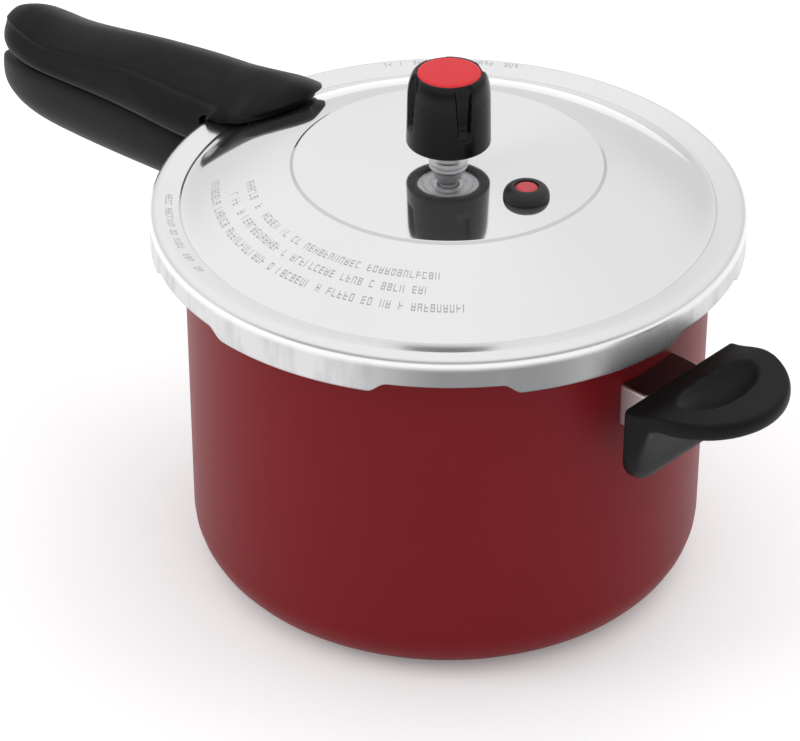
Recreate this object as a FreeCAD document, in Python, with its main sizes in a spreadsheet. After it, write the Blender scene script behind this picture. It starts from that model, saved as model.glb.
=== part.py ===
"""Stovetop pressure cooker, 22 cm, about 6 litres.

Frame: origin at the middle of the pot's base, +Z up, long handles along -X, helper handle along +X.
Lengths are millimetres and angles are degrees.
"""
import FreeCAD, Part
import math
import os
import Sketcher
from FreeCAD import Placement, Rotation, Vector

doc = FreeCAD.newDocument("pressure_cooker")

# ------------------------------------------------------------------------------- driving sizes
SIZES = {
    # pot
    "body_radius": 110.0, "pot_wall": 2.2, "base_thickness": 3.5, "base_corner": 22.0,
    "pot_height": 158.0, "flange_drop": 1.6, "flange_thickness": 3.2, "flange_reach": 4.6,
    "pot_lug_reach": 4.8, "pot_lug_angle": 22.5, "pot_lug_turn": 41.7, "lug_count": 6.0,
    # lid
    "lid_sheet": 2.2, "skirt_gap": 2.3, "lip_reach": 5.7, "lip_gap": 0.6, "lid_gap_angle": 24.5,
    "lid_gap_turn": 11.7, "skirt_notch": 5.3, "shoulder": 4.0, "rim_band": 9.5, "rim_slope": 1.8,
    "rim_step": 0.8, "rim_rise": 11.7, "dome_rise": 17.2, "dome_bulge": 2.4, "dome_step": 1.0,
    "plateau_radius": 65.0, "ring_inset": 0.5, "ring_width": 12.9, "ring_height": 6.4, "ring_lip": 2.0,
    # vent pipe and regulator
    "vent_radius": 4.25, "vent_bore": 1.6, "vent_foot_radius": 8.0, "vent_foot_height": 2.6,
    "vent_flare": 3.0, "vent_height": 27.0, "vent_tip": 3.0, "vent_nut_radius": 9.0,
    "vent_nut_height": 5.0, "vent_seal_radius": 10.0, "vent_seal_height": 1.6,
    "weight_gap": 9.7, "weight_radius": 17.45, "weight_shoulder_radius": 17.0,
    "weight_top_radius": 13.6, "weight_side": 20.0, "weight_height": 31.5, "weight_wall": 4.4,
    "slug_inset": 1.0, "slug_height": 18.0, "flute_width": 6.2, "flute_depth": 2.0,
    "flute_foot": 7.0, "flute_turn": 334.8, "disc_radius": 13.0, "disc_height": 1.4,
    "clip_level": 4.0, "clip_wire": 1.1, "running_gap": 0.08,
    # safety valve
    "valve_place": 42.6, "valve_radius": 9.5, "valve_height": 6.3, "valve_neck": 6.0,
    "valve_foot": 8.7, "valve_brim": 1.25, "valve_side": 2.8, "valve_side_inset": 0.5,
    "valve_shoulder": 4.8, "valve_shoulder_inset": 2.0, "valve_mouth_inset": 3.7,
    "valve_flange": 8.4, "valve_flange_height": 2.2, "button_radius": 4.8, "button_top": 6.2,
    "button_edge": 0.9, "button_cup": 2.6, "cup_sheet": 1.2, "stem_radius": 2.4,
    "button_travel": 3.0, "retainer_radius": 5.0, "retainer_height": 1.0,
    "retainer_gap": 0.4, "stem_end": 0.6,
    # long handles: the inner end of the lower one, and how both are fixed
    "lid_clearance": 0.1, "bracket_half_width": 14.0, "bracket_height": 20.0,
    "bracket_drop": 25.0, "bracket_sheet": 2.0, "bracket_corner": 4.0, "bracket_edge": 2.0,
    "handle_stand_off": 12.0, "tang_length": 38.0, "tang_half_width": 9.0, "tang_thickness": 3.0,
    "tang_clearance": 0.15, "tang_screw_place": 40.0, "tang_screw_cover": 9.0,
    "screw_radius": 2.5, "screw_head_radius": 4.6, "screw_head_height": 3.0, "rivet_radius": 2.4,
    "rivet_head_radius": 4.8, "rivet_head_height": 1.5, "rivet_set": 0.6, "rivet_spread": 7.0,
    "hole_clearance": 0.05,
    "nose_screw_inset": 6.1, "nose_screw_turn": 5.5, "nose_screw_radius": 2.0,
    "spacer_radius": 4.5, "spacer_height": 3.6, "insert_radius": 3.4, "insert_height": 7.0,
    "washer_radius": 5.0, "washer_height": 1.2, "nose_head_radius": 4.0, "nose_head_height": 2.4,
    "nose_washer_gap": 0.1,
    # helper handle
    "helper_half_width": 34.5, "helper_straight": 12.5, "helper_stand_off": 14.5,
    "helper_drop": 35.0, "helper_bracket_half_width": 16.5, "helper_bracket_height": 19.0,
    "helper_back_height": 36.5, "helper_back_above": 13.0, "helper_front_rise": 4.0,
    "helper_edge": 9.0, "helper_edge_round": 2.4, "helper_pad_thickness": 6.5, "helper_corner": 14.0,
    "helper_root_reach": 4.5, "helper_root_height": 16.0, "helper_web_reach": 13.0,
    "helper_web_drop": 5.5, "helper_under_flat": 12.0, "helper_under_rise": 1.5,
    "helper_top_flat": 14.0, "dish_half_width": 23.0, "dish_half_length": 13.5, "dish_depth": 3.6,
    "dish_rise": 6.0, "dish_sink": 0.4, "dish_place": 37.5, "helper_screw_seat": 4.0,
    "helper_screw_drop": 4.0, "helper_washer_radius": 5.4, "helper_washer_height": 1.0,
}

sheet = doc.addObject("Spreadsheet::Sheet", "sizes")
for row, (alias, number) in enumerate(SIZES.items(), start=1):
    sheet.set(f"A{row}", alias)
    sheet.set(f"B{row}", str(number))
    sheet.setAlias(f"B{row}", alias)
doc.recompute()


class Size:
    """A number that carries its formula, so that whatever is drawn with it can be bound to it."""

    def __init__(self, value, formula=None):
        self.value = float(value)
        self.formula = formula or repr(float(value))

    def _with(self, other, sign, value):
        return Size(value, f"({self.formula} {sign} {as_size(other).formula})")

    def __add__(self, other):
        return self._with(other, "+", self.value + as_size(other).value)

    def __sub__(self, other):
        return self._with(other, "-", self.value - as_size(other).value)

    def __mul__(self, other):
        return self._with(other, "*", self.value * as_size(other).value)

    def __truediv__(self, other):
        return self._with(other, "/", self.value / as_size(other).value)

    def __neg__(self):
        return self * -1


def as_size(number):
    return number if isinstance(number, Size) else Size(number)


def cosine(angle):
    return Size(math.cos(math.radians(angle.value)), f"cos({angle.formula})")


def sine(angle):
    return Size(math.sin(math.radians(angle.value)), f"sin({angle.formula})")


def slope_angle(rise, run):
    value = math.degrees(math.atan2(rise.value, run.value))
    return Size(value, f"(atan({rise.formula} / {run.formula}) / 1deg)")


class Sheet:
    """The driving sizes by name."""


s = Sheet()
for alias, number in SIZES.items():
    setattr(s, alias, Size(number, f"sizes.{alias}"))

# ------------------------------------------------------------------- levels that follow from them
flange_top = s.pot_height - s.flange_drop
flange_bottom = flange_top - s.flange_thickness
lug_radius = s.body_radius + s.flange_reach + s.pot_lug_reach
skirt_inside = lug_radius + s.skirt_gap
lid_radius = skirt_inside + s.lid_sheet
lip_top = flange_bottom - s.lip_gap
lip_bottom = lip_top - s.lid_sheet
rim_top = s.pot_height + s.rim_rise
band_inside = lid_radius - s.shoulder - s.rim_band
band_inner_top = rim_top - s.rim_slope
dome_foot_radius = band_inside - s.rim_step
dome_foot = band_inner_top - s.rim_step
dome_top = dome_foot + s.dome_rise
plateau = dome_top + s.dome_step
plateau_under = plateau - s.lid_sheet
dome_middle_radius = (dome_foot_radius + s.plateau_radius) / 2
dome_middle = (dome_foot + dome_top) / 2 + s.dome_bulge
dome_slope = slope_angle(dome_middle - dome_foot, dome_foot_radius - dome_middle_radius)
bracket_level = s.pot_height - s.bracket_drop
helper_level = s.pot_height - s.helper_drop
helper_back_top = helper_level + s.helper_back_above
helper_front_top = helper_back_top + s.helper_front_rise
helper_low = helper_back_top - s.helper_back_height
tang_screw_place = s.body_radius + s.tang_screw_place
nose_screw_place = dome_foot_radius - s.nose_screw_inset


# ------------------------------------------------------------------------------ drawing helpers
def new_body(label):
    body = doc.addObject("PartDesign::Body", label)
    body.Label = label
    return body


def place(item, x=0, y=0, z=0):
    """Stand a sub-part at a place worked out from the sizes."""
    for axis, size in zip("xyz", (x, y, z)):
        item.setExpression(f"Placement.Base.{axis}", as_size(size).formula)


def origin(body, role):
    return next(item for item in body.Origin.OriginFeatures if item.Role == role)


def new_sketch(body, name, plane, offset=None):
    sketch = body.newObject("Sketcher::SketchObject", name)
    sketch.AttachmentSupport = [(origin(body, plane), "")]
    sketch.MapMode = "FlatFace"
    if offset is not None:
        sketch.setExpression("AttachmentOffset.Base.z", as_size(offset).formula)
    return sketch


def hold(sketch, geometry, end, across, up):
    """Hold a point of the sketch at two sizes."""
    for kind, axis, size in (("DistanceX", -2, across), ("DistanceY", -1, up)):
        if size.value == 0 and "sizes" not in size.formula:
            sketch.addConstraint(Sketcher.Constraint("PointOnObject", geometry, end, axis))
            continue
        number = sketch.addConstraint(Sketcher.Constraint(kind, -1, 1, geometry, end, size.value))
        sketch.setExpression(f"Constraints[{number}]", size.formula)


def draw_loop(sketch, corners):
    """A closed outline; a corner may carry the radius of the arc that leaves it."""
    points = [(as_size(corner[0]), as_size(corner[1])) for corner in corners]
    first = sketch.GeometryCount
    for index, corner in enumerate(corners):
        start = points[index]
        finish = points[(index + 1) % len(points)]
        a = Vector(start[0].value, start[1].value, 0)
        b = Vector(finish[0].value, finish[1].value, 0)
        if len(corner) == 2:
            sketch.addGeometry(Part.LineSegment(a, b), False)
        else:
            sketch.addGeometry(arc_between(a, b, as_size(corner[2]).value), False)
    for index, corner in enumerate(corners):
        here = first + index
        following = first + (index + 1) % len(corners)
        leaving = arc_start(sketch, here, points[index])
        arriving = 3 - leaving
        sketch.addConstraint(Sketcher.Constraint("Coincident", here, arriving, following,
                                                 arc_start(sketch, following,
                                                           points[(index + 1) % len(points)])))
        hold(sketch, here, leaving, *points[index])
        if len(corner) == 3:
            radius = as_size(corner[2])
            number = sketch.addConstraint(Sketcher.Constraint("Radius", here, abs(radius.value)))
            sketch.setExpression(f"Constraints[{number}]", f"abs({radius.formula})")


def arc_between(a, b, radius):
    """The shorter arc from a to b; a positive radius bulges to the right of the way."""
    middle = (a + b) * 0.5
    along = b - a
    half = along.Length / 2
    side = Vector(along.y, -along.x, 0).normalize() * math.copysign(1, radius)
    reach = max(radius * radius - half * half, 0) ** 0.5
    return Part.Arc(a, middle + side * (abs(radius) - reach), b)


def arc_start(sketch, geometry, point):
    """Which end of a piece of outline lies at the point."""
    start = sketch.getPoint(geometry, 1)
    return 1 if (start - Vector(point[0].value, point[1].value, 0)).Length < 1e-5 else 2


def rectangle(left, right, low, high):
    return [(left, low), (right, low), (right, high), (left, high)]


def rounded_rectangle(left, right, low, high, radius):
    left, right, low, high, radius = (as_size(x) for x in (left, right, low, high, radius))
    return [(left + radius, low), (right - radius, low, radius), (right, low + radius),
            (right, high - radius, radius), (right - radius, high), (left + radius, high, radius),
            (left, high - radius), (left, low + radius, radius)]


def circle(sketch, across, up, radius):
    across, up, radius = as_size(across), as_size(up), as_size(radius)
    centre = Vector(across.value, up.value, 0)
    ring = sketch.addGeometry(Part.Circle(centre, Vector(0, 0, 1), radius.value), False)
    hold(sketch, ring, 3, across, up)
    number = sketch.addConstraint(Sketcher.Constraint("Radius", ring, radius.value))
    sketch.setExpression(f"Constraints[{number}]", radius.formula)


def feature(body, kind, name, sketch=None, **settings):
    item = body.newObject(f"PartDesign::{kind}", name)
    if sketch is not None:
        item.Profile = sketch
        sketch.Visibility = False
    for key, value in settings.items():
        if isinstance(value, Size):
            item.setExpression(key, value.formula)
        else:
            setattr(item, key, value)
    doc.recompute()
    return item


def turned(body, name, corners, kind="Revolution"):
    """A shape turned about the body's own upright axis from its half section."""
    sketch = new_sketch(body, name + "_section", "XZ_Plane")
    draw_loop(sketch, corners)
    return feature(body, kind, name, sketch, ReferenceAxis=(sketch, ["V_Axis"]), Angle=360.0)


def padded(body, name, plane, corners, length, both=False, offset=None, kind="Pad", flip=False):
    """A flat outline given a thickness, or cut to a depth."""
    sketch = new_sketch(body, name + "_outline", plane, offset)
    for loop in corners if isinstance(corners[0], list) else [corners]:
        draw_loop(sketch, loop)
    side = "Symmetric" if both else "One side"
    return feature(body, kind, name, sketch, Length=as_size(length), SideType=side, Reversed=flip)


def bored(body, name, plane, centres, radius, length, both=False, offset=None, flip=False,
          kind="Pocket"):
    """Round holes, or round studs, of one radius."""
    sketch = new_sketch(body, name + "_circles", plane, offset)
    for across, up in centres:
        circle(sketch, across, up, radius)
    side = "Symmetric" if both else "One side"
    return feature(body, kind, name, sketch, Length=as_size(length), SideType=side, Reversed=flip)


def repeated(body, name, original, count):
    """Copies of one feature round the body's upright axis."""
    item = body.newObject("PartDesign::PolarPattern", name)
    item.Originals = [original]
    item.Axis = (origin(body, "Z_Axis"), [""])
    item.Angle = 360.0
    item.setExpression("Occurrences", as_size(count).formula)
    body.Tip = item
    doc.recompute()
    return item


def rounded(body, name, radius, chosen):
    """Fillet the edges of the body so far that a test picks out."""
    base = body.Tip
    names = [f"Edge{n}" for n, edge in enumerate(base.Shape.Edges, start=1) if chosen(edge)]
    if not names:
        raise ValueError(f"{name} finds no edge")
    item = body.newObject("PartDesign::Fillet", name)
    item.Base = (base, names)
    item.setExpression("Radius", as_size(radius).formula)
    doc.recompute()
    return item


def ring_edge(radius, level):
    """Test for a whole circle about the upright axis at one radius and level."""
    def test(edge):
        curve = edge.Curve
        round_edge = isinstance(curve, Part.Circle) and abs(curve.Radius - radius.value) < 1e-3
        return round_edge and abs(edge.BoundBox.ZMin - level.value) < 1e-3 \
            and edge.BoundBox.ZLength < 1e-3
    return test


def sector(inner, outer, angle, turn=0.0):
    """Four corners of a straight-sided wedge of a ring, about +X turned by an angle."""
    half = angle / 2
    low, high = -half + turn, half + turn
    return [(inner * cosine(low), inner * sine(low)), (outer * cosine(low), outer * sine(low)),
            (outer * cosine(high), outer * sine(high)), (inner * cosine(high), inner * sine(high))]


def lofted(body, name, stations):
    """A bar along +X through rounded sections: reach, half width, low, high, corner radius."""
    sketches = []
    for number, (reach, half, low, high, radius) in enumerate(stations):
        sketch = new_sketch(body, f"{name}_section_{number}", "YZ_Plane", reach)
        draw_loop(sketch, rounded_rectangle(-as_size(half), half, low, high, radius))
        sketches.append(sketch)
    doc.recompute()
    return feature(body, "AdditiveLoft", name, sketches[0], Sections=sketches[1:], Ruled=True)


# ---------------------------------------------------------------------------------------- pot
# Drawn aluminium vessel. The bayonet flange with its six lugs stands just below the rim.
pot = new_body("pot_body")
inside = s.body_radius - s.pot_wall
turned(pot, "vessel", [(0, 0), (s.body_radius, 0), (s.body_radius, s.pot_height),
                       (inside, s.pot_height), (inside, s.base_thickness), (0, s.base_thickness)])
rounded(pot, "outer_corner", s.base_corner, ring_edge(s.body_radius, Size(0)))
rounded(pot, "inner_corner", s.base_corner - s.base_thickness,
        ring_edge(inside, s.base_thickness))
flange_root = s.body_radius - s.pot_wall / 2
turned(pot, "flange", [(flange_root, flange_bottom), (s.body_radius + s.flange_reach, flange_bottom),
                       (s.body_radius + s.flange_reach, flange_top), (flange_root, flange_top)])
lug = padded(pot, "lug", "XY_Plane", sector(flange_root, lug_radius, s.pot_lug_angle, s.pot_lug_turn),
             s.flange_thickness, offset=flange_bottom)
repeated(pot, "lugs", lug, s.lug_count)
rivet_hole = s.rivet_radius + s.hole_clearance
for side, level in (("long", bracket_level), ("helper", helper_level)):
    bored(pot, f"{side}_rivet_holes", "YZ_Plane", [(s.rivet_spread, level), (-s.rivet_spread, level)],
          rivet_hole, s.body_radius + 5, flip=side == "helper")


# ------------------------------------------------------------------ brackets, rivets and tang
def stamped_bracket(label, half_width, height, level, stand_off):
    """Steel channel, open below, shaped to the pot's wall at its back."""
    body = new_body(label)
    back, front = s.body_radius - 3, s.body_radius + stand_off
    low, high = level - height / 2, level + height / 2
    padded(body, "block", "XY_Plane", rectangle(back, front, -half_width, half_width), height,
           offset=low)
    upright = lambda edge: edge.BoundBox.ZLength > height.value - 0.1 \
        and edge.CenterOfMass.x > front.value - 0.1
    rounded(body, "front_corners", s.bracket_corner, upright)
    rounded(body, "top_edges", s.bracket_edge, lambda edge: edge.BoundBox.ZMin > high.value - 0.1
            and edge.BoundBox.ZLength < 0.01 and edge.CenterOfMass.x > back.value + 0.1)
    inner = half_width - s.bracket_sheet
    padded(body, "hollow", "XY_Plane",
           rectangle(s.body_radius + s.bracket_sheet, front - s.bracket_sheet, -inner, inner),
           height - s.bracket_sheet, offset=low, kind="Pocket", flip=True)
    bored(body, "wall_seat", "XY_Plane", [(0, 0)], s.body_radius + s.hole_clearance,
          height, offset=low, flip=True)
    return body


def rivets(label, level, turn=0.0):
    """Two solid rivets: flat heads inside the pot, set heads inside the bracket."""
    body = new_body(label)
    reach = s.rivet_spread + s.rivet_head_radius
    back = Size((inside.value ** 2 - reach.value ** 2) ** 0.5,
                f"sqrt(({inside.formula})^2 - ({reach.formula})^2)")
    front = s.body_radius + s.bracket_sheet
    both = [(s.rivet_spread, 0), (-s.rivet_spread, 0)]
    bored(body, "inner_heads", "YZ_Plane", both, s.rivet_head_radius, s.rivet_head_height,
          offset=back - s.rivet_head_height, kind="Pad")
    bored(body, "shanks", "YZ_Plane", both, s.rivet_radius, front - back, offset=back, kind="Pad")
    bored(body, "set_heads", "YZ_Plane", both, s.rivet_head_radius - s.rivet_set, s.rivet_head_height,
          offset=front, kind="Pad")
    place(body, z=level)
    body.Placement.Rotation = Rotation(Vector(0, 0, 1), turn)
    return body


long_bracket = stamped_bracket("lower_handle_bracket", s.bracket_half_width, s.bracket_height,
                               bracket_level, s.handle_stand_off)
tang_foot = s.body_radius + s.handle_stand_off - s.bracket_sheet / 2
padded(long_bracket, "tang", "XY_Plane",
       rectangle(tang_foot, s.body_radius + s.handle_stand_off + s.tang_length,
                 -s.tang_half_width, s.tang_half_width),
       s.tang_thickness, offset=bracket_level - s.tang_thickness / 2)
bored(long_bracket, "tang_hole", "XY_Plane", [(tang_screw_place, 0)],
      s.screw_radius + s.hole_clearance, s.tang_thickness * 2, both=True, offset=bracket_level)
bored(long_bracket, "rivet_holes", "YZ_Plane",
      [(s.rivet_spread, bracket_level), (-s.rivet_spread, bracket_level)], rivet_hole,
      s.body_radius + s.bracket_sheet + 1, flip=True)
long_bracket.Placement.Rotation = Rotation(Vector(0, 0, 1), 180)

helper_bracket = stamped_bracket("helper_handle_bracket", s.helper_bracket_half_width,
                                 s.helper_bracket_height, helper_level, s.helper_stand_off)
bored(helper_bracket, "rivet_holes", "YZ_Plane",
      [(s.rivet_spread, helper_level), (-s.rivet_spread, helper_level)], rivet_hole,
      s.body_radius + s.bracket_sheet + 1, flip=True)
helper_screw_level = helper_level - s.helper_screw_drop
bored(helper_bracket, "screw_hole", "YZ_Plane", [(0, helper_screw_level)],
      s.screw_radius + s.hole_clearance, s.bracket_sheet * 2, both=True,
      offset=s.body_radius + s.helper_stand_off - s.bracket_sheet / 2)
rivets("lower_handle_rivets", bracket_level, 180)
rivets("helper_handle_rivets", helper_level)

# -------------------------------------------------------------------------- lower long handle
# Moulded phenolic grip. Each section: reach beyond the bracket, half width, depth of its bottom and
# of its top below the pot's rim, corner radius.
lower = new_body("lower_handle")
lower_start = s.body_radius + s.handle_stand_off
LOWER_SECTIONS = [
    (0.0, 15.0, 37.0, 10.8, 5.0), (6.0, 17.0, 38.2, 9.6, 6.0),
    (13.0, 18.6, 38.8, 7.6, 7.5), (23.0, 20.2, 39.6, 5.6, 9.0),
    (68.0, 21.5, 40.6, 5.4, 11.0), (108.0, 21.0, 40.4, 8.8, 11.0),
    (128.0, 18.5, 38.6, 11.2, 10.0), (141.0, 14.5, 35.4, 13.4, 8.0),
    (148.0, 9.5, 31.5, 15.7, 5.5), (151.0, 5.0, 27.5, 18.5, 3.0)]
lower_stations = [(lower_start + reach, half, s.pot_height - bottom, s.pot_height - top, corner)
                  for reach, half, bottom, top, corner in LOWER_SECTIONS]
lofted(lower, "grip", lower_stations)
tang_fit = s.tang_clearance
padded(lower, "tang_slot", "XY_Plane",
       rectangle(lower_start - 1, lower_start + s.tang_length + tang_fit,
                 -s.tang_half_width - tang_fit, s.tang_half_width + tang_fit),
       s.tang_thickness + tang_fit * 2, both=True, offset=bracket_level, kind="Pocket")
bored(lower, "screw_hole", "XY_Plane", [(tang_screw_place, 0)], s.screw_radius + s.hole_clearance,
      bracket_level + s.tang_thickness + 4, flip=True)
screw_seat = bracket_level - s.tang_screw_cover
bored(lower, "screw_counterbore", "XY_Plane", [(tang_screw_place, 0)],
      s.screw_head_radius + s.tang_clearance, screw_seat, flip=True)
lower.Placement.Rotation = Rotation(Vector(0, 0, 1), 180)


def cap_screw(label, shank_radius, shank_length, head_radius, head_height):
    """Pan-head screw: head below its own origin, shank above it, with a cross-slot recess."""
    body = new_body(label)
    turned(body, "blank", [(0, -head_height), (head_radius, -head_height), (head_radius, 0),
                           (shank_radius, 0), (shank_radius, shank_length), (0, shank_length)])
    slot_half = shank_radius * 0.25
    for name, wide, deep in (("slot_across", head_radius, slot_half),
                             ("slot_along", slot_half, head_radius)):
        padded(body, name, "XY_Plane", rectangle(-wide * 0.6, wide * 0.6, -deep * 0.6, deep * 0.6),
               head_height * 0.5, offset=-head_height, kind="Pocket", flip=True)
    return body


lower_screw = cap_screw("lower_handle_screw", s.screw_radius, s.tang_thickness + s.tang_screw_cover,
                        s.screw_head_radius, s.screw_head_height)
place(lower_screw, x=-tang_screw_place, z=screw_seat)

# ------------------------------------------------------------------------------ helper handle
# Moulded phenolic: an upright pad against the bracket and a D-shaped ledge with a thumb dish.
helper = new_body("helper_handle")
helper_back = s.body_radius + s.helper_stand_off
ledge_centre = helper_back + s.helper_straight
helper_tip = ledge_centre + s.helper_half_width
pad_front = helper_back + s.helper_pad_thickness
ledge_low = helper_front_top - s.helper_edge
padded(helper, "side_view", "XZ_Plane",
       [(helper_back, helper_low), (pad_front, helper_low),
        (pad_front + s.helper_root_reach, helper_low + s.helper_root_height),
        (pad_front + s.helper_web_reach, ledge_low - s.helper_web_drop),
        (helper_tip - s.helper_under_flat, ledge_low), (helper_tip + 1, ledge_low + s.helper_under_rise),
        (helper_tip + 1, helper_front_top), (helper_tip - s.helper_top_flat, helper_front_top),
        (helper_back, helper_back_top)],
       s.helper_half_width * 2 + 2, both=True)
frame_box = rectangle(helper_back - 5, helper_tip + 6, -s.helper_half_width - 6,
                      s.helper_half_width + 6)
dee = [(helper_back, -s.helper_half_width), (ledge_centre, -s.helper_half_width, s.helper_half_width),
       (helper_tip, 0, s.helper_half_width), (ledge_centre, s.helper_half_width),
       (helper_back, s.helper_half_width)]
padded(helper, "plan_view", "XY_Plane", [frame_box, dee], helper_front_top + 10, kind="Pocket",
       flip=True)
padded(helper, "pad_corners", "YZ_Plane",
       [rectangle(-s.helper_half_width - 5, s.helper_half_width + 5, helper_low - 5,
                  helper_front_top + 20),
        rounded_rectangle(-s.helper_half_width, s.helper_half_width, helper_low,
                          helper_front_top + 15, s.helper_corner)],
       helper_tip + 5, kind="Pocket", flip=True)
rounded(helper, "ledge_edges", s.helper_edge_round,
        lambda edge: edge.CenterOfMass.z > ledge_low.value + 1.4 and edge.BoundBox.ZLength < 8
        and edge.CenterOfMass.x > ledge_centre.value + 2
        and 5 < edge.BoundBox.YLength < s.helper_half_width.value * 1.3)
dish = feature(helper, "SubtractiveEllipsoid", "thumb_dish", Radius1=s.dish_depth + s.dish_rise,
               Radius2=s.dish_half_length, Radius3=s.dish_half_width)
dish.setExpression("Placement.Base.x", (s.body_radius + s.dish_place).formula)
dish.setExpression("Placement.Base.z", (helper_front_top + s.dish_rise - s.dish_sink).formula)
bored(helper, "screw_hole", "YZ_Plane", [(0, helper_screw_level)], s.screw_radius + s.hole_clearance,
      helper_tip, flip=True)
helper_seat = helper_back + s.helper_screw_seat
bored(helper, "screw_counterbore", "YZ_Plane", [(0, helper_screw_level)],
      s.helper_washer_radius + s.tang_clearance, 30.0, offset=helper_seat, flip=True)

washer = new_body("helper_handle_washer")
turned(washer, "disc", [(s.screw_radius + s.hole_clearance, 0), (s.helper_washer_radius, 0),
                        (s.helper_washer_radius, s.helper_washer_height),
                        (s.screw_radius + s.hole_clearance, s.helper_washer_height)])
place(washer, x=helper_seat, z=helper_screw_level)
washer.Placement.Rotation = Rotation(Vector(0, 1, 0), 90)
helper_screw = cap_screw("helper_handle_screw", s.screw_radius, helper_seat + s.helper_washer_height
                         - (helper_back - s.bracket_sheet - 1), s.screw_head_radius,
                         s.screw_head_height)
place(helper_screw, x=helper_seat + s.helper_washer_height, z=helper_screw_level)
helper_screw.Placement.Rotation = Rotation(Vector(0, 1, 0), -90)

# ---------------------------------------------------------------------------------------- lid
# Pressed aluminium: flat plateau, shallow dome, raised rim band and a deep skirt whose six
# in-turned lips hook under the pot's lugs.
lid = new_body("lid_shell")
sheet_size = s.lid_sheet
turned(lid, "pressing", [
    (0, plateau_under), (s.plateau_radius - s.dome_step, plateau_under),
    (s.plateau_radius - 0.3, dome_top - sheet_size),
    (dome_middle_radius - 0.4, dome_middle - sheet_size),
    (dome_foot_radius - 0.4, dome_foot - sheet_size),
    (band_inside + 0.4, band_inner_top - sheet_size), (skirt_inside - s.shoulder + sheet_size,
                                                     rim_top - sheet_size, -(s.shoulder - sheet_size)),
    (skirt_inside, rim_top - s.shoulder), (skirt_inside, lip_top),
    (lid_radius - s.lip_reach - sheet_size, lip_top),
    (lid_radius - s.lip_reach - sheet_size, lip_bottom),
    (lid_radius, lip_bottom), (lid_radius, rim_top - s.shoulder, s.shoulder),
    (lid_radius - s.shoulder, rim_top), (band_inside, band_inner_top), (dome_foot_radius, dome_foot),
    (dome_middle_radius, dome_middle), (s.plateau_radius, dome_top),
    (s.plateau_radius - s.dome_step, plateau), (0, plateau)])
notch = padded(lid, "notch", "XY_Plane",
               sector(s.body_radius, lid_radius + 6, s.lid_gap_angle, s.lid_gap_turn), s.skirt_notch + 1,
               offset=lip_bottom - 1, kind="Pocket", flip=True)
repeated(lid, "notches", notch, s.lug_count)
bored(lid, "vent_hole", "XY_Plane", [(0, 0)], s.vent_radius + s.hole_clearance, sheet_size * 4,
      both=True, offset=plateau)
bored(lid, "valve_hole", "XY_Plane", [(s.valve_place, 0)], s.valve_neck, sheet_size * 4, both=True,
      offset=plateau)

# The nose screws stand square to the dome, one each side of the handle's axis.
nose_level = dome_foot + s.nose_screw_inset * (dome_middle - dome_foot) \
    / (dome_foot_radius - dome_middle_radius)


def on_dome(turn, lift):
    """Placement square to the dome at the nose screws, lifted off its outer face."""
    around = Rotation(Vector(0, 0, 1), turn)
    upright = around.multiply(Rotation(Vector(0, 1, 0), dome_slope.value))
    foot = around.multVec(Vector(nose_screw_place.value, 0, nose_level.value))
    return Placement(foot + upright.multVec(Vector(0, 0, lift.value)), upright)


NOSE_TURNS = (180 - s.nose_screw_turn.value, 180 + s.nose_screw_turn.value)


def dome_cut(body, name, radius, start, length, turns=NOSE_TURNS):
    """Round holes square to the dome, from a lift above its outer face."""
    for number, turn in enumerate(turns):
        hole = feature(body, "SubtractiveCylinder", f"{name}_{number}", Radius=radius, Height=length)
        hole.Placement = on_dome(turn, start)
        doc.recompute()


def dome_ring(label, rings):
    """One turned piece for each nose screw: list of inner radius, outer radius, start, length."""
    pieces = []
    for turn in NOSE_TURNS:
        for inner, outer, start, length in rings:
            piece = Part.makeCylinder(outer.value, length.value)
            if inner.value > 0:
                piece = piece.cut(Part.makeCylinder(inner.value, length.value))
            piece.Placement = on_dome(turn, start)
            pieces.append(piece)
    joined = pieces if len(rings) == 1 else [pieces[0].fuse(pieces[1]).removeSplitter(),
                                             pieces[2].fuse(pieces[3]).removeSplitter()]
    item = doc.addObject("Part::Feature", label)
    item.Label = label
    item.Shape = Part.Compound([solid for shape in joined for solid in shape.Solids])
    return item


nose_hole = s.nose_screw_radius + s.hole_clearance
dome_cut(lid, "nose_screw_hole", nose_hole, -sheet_size * 2, sheet_size * 4)
head_start = -sheet_size - s.washer_height - s.nose_head_height - s.nose_washer_gap * 1.5
dome_ring("nose_screw_washers", [
    (nose_hole, s.washer_radius, -sheet_size - s.washer_height - s.nose_washer_gap, s.washer_height)])
dome_ring("nose_screws", [
    (Size(0), s.nose_head_radius, head_start, s.nose_head_height),
    (Size(0), s.nose_screw_radius, head_start + s.nose_head_height,
     sheet_size + s.washer_height + s.spacer_height + s.insert_height - 1.0)])
dome_ring("handle_spacers", [(nose_hole, s.spacer_radius, s.nose_washer_gap,
                              s.spacer_height - s.nose_washer_gap)])
dome_ring("handle_inserts", [(s.nose_screw_radius + 0.02, s.insert_radius, s.spacer_height,
                              s.insert_height)])

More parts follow.
